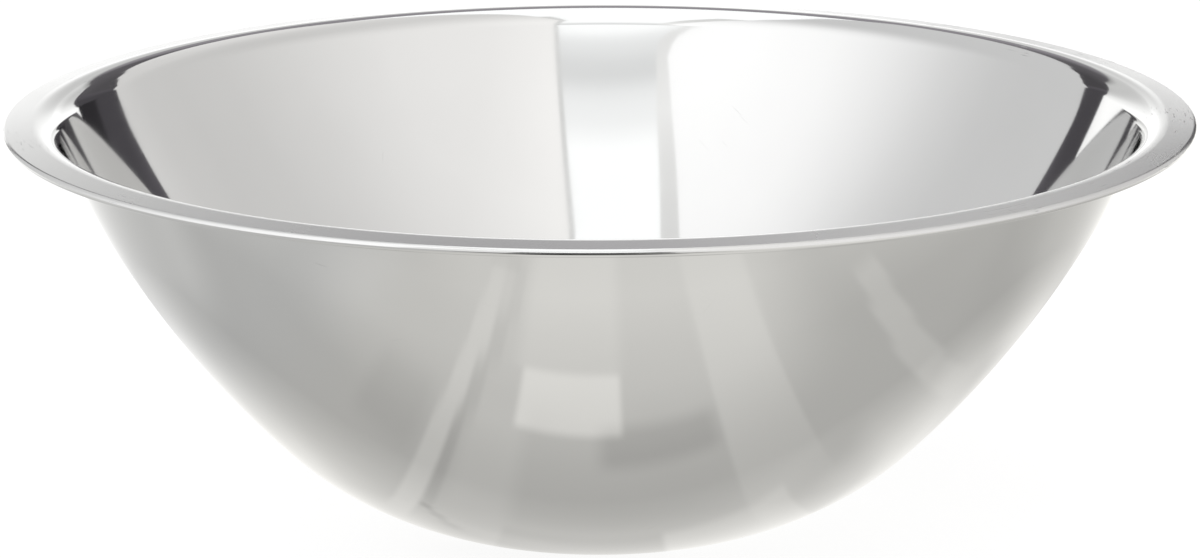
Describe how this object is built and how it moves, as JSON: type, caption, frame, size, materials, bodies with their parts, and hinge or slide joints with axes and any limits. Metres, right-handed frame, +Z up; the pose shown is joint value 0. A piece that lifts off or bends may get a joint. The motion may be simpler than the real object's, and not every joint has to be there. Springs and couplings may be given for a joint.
{
  "type": "mixing bowl",
  "caption": "Open round mixing bowl pressed from one sheet of stainless steel, with a flat base to stand on, a curved flaring wall, a narrow flange and a bead curled under its edge.",
  "frame": {"origin": "centre of the underside of the flat base, on the table", "axes": "+Z up along the bowl's axis, out of its mouth; the bowl is round, so +X and +Y are any two directions at right angles in the table's plane"},
  "size_m": [0.337, 0.337, 0.118],
  "materials": {
    "steel_sheet": "mirror-bright inside and over the rim, a little softer outside"
  },
  "bodies": {
    "root": {"bowl": "steel_sheet"}
  },
  "joints": []
}
